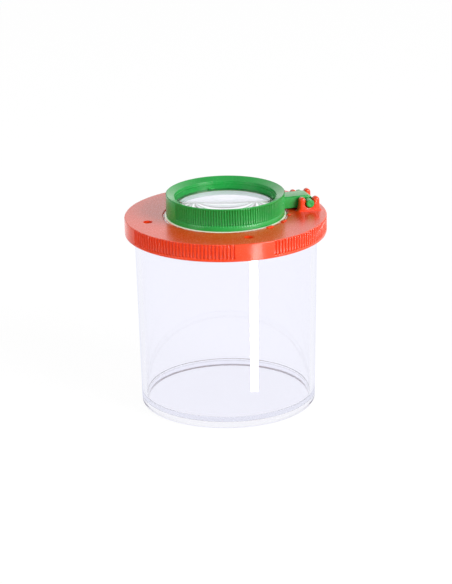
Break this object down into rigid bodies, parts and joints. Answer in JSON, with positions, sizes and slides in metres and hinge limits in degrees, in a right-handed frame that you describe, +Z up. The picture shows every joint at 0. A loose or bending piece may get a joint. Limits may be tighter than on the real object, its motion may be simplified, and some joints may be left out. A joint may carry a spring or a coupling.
{
  "type": "magnifying jar",
  "caption": "Clear round viewing jar with a push-on vented lid, a fixed magnifying lens in the lid and a second lens in a ribbed frame that swings up on a snap hinge.",
  "frame": {"origin": "centre of the jar's foot, on the surface that the jar stands on", "axes": "+Z up along the jar's axis, +X from that axis towards the magnifier's hinge"},
  "size_m": [0.0736, 0.0736, 0.0796],
  "materials": {
    "clear_polystyrene": "clear, polished",
    "lid_plastic": "glossy, moulded",
    "lens_acrylic": "clear, polished",
    "frame_plastic": "glossy, moulded"
  },
  "bodies": {
    "jar_body": {"jar": "clear_polystyrene"},
    "lid_body": {"lid": "lid_plastic", "fixed_lens": "lens_acrylic"},
    "magnifier": {"lens_frame": "frame_plastic", "flip_lens": "lens_acrylic"}
  },
  "joints": [
    {"name": "lid_lift", "type": "slide", "parent": "jar_body", "child": "lid_body", "axis": [0, 0, 1], "range_m": [0, 0.07]},
    {"name": "magnifier_hinge", "type": "hinge", "parent": "lid_body", "child": "magnifier", "pos_m": [0.0302, 0, 0.07415], "axis": [0, 1, 0], "range_deg": [0, 180]}
  ]
}
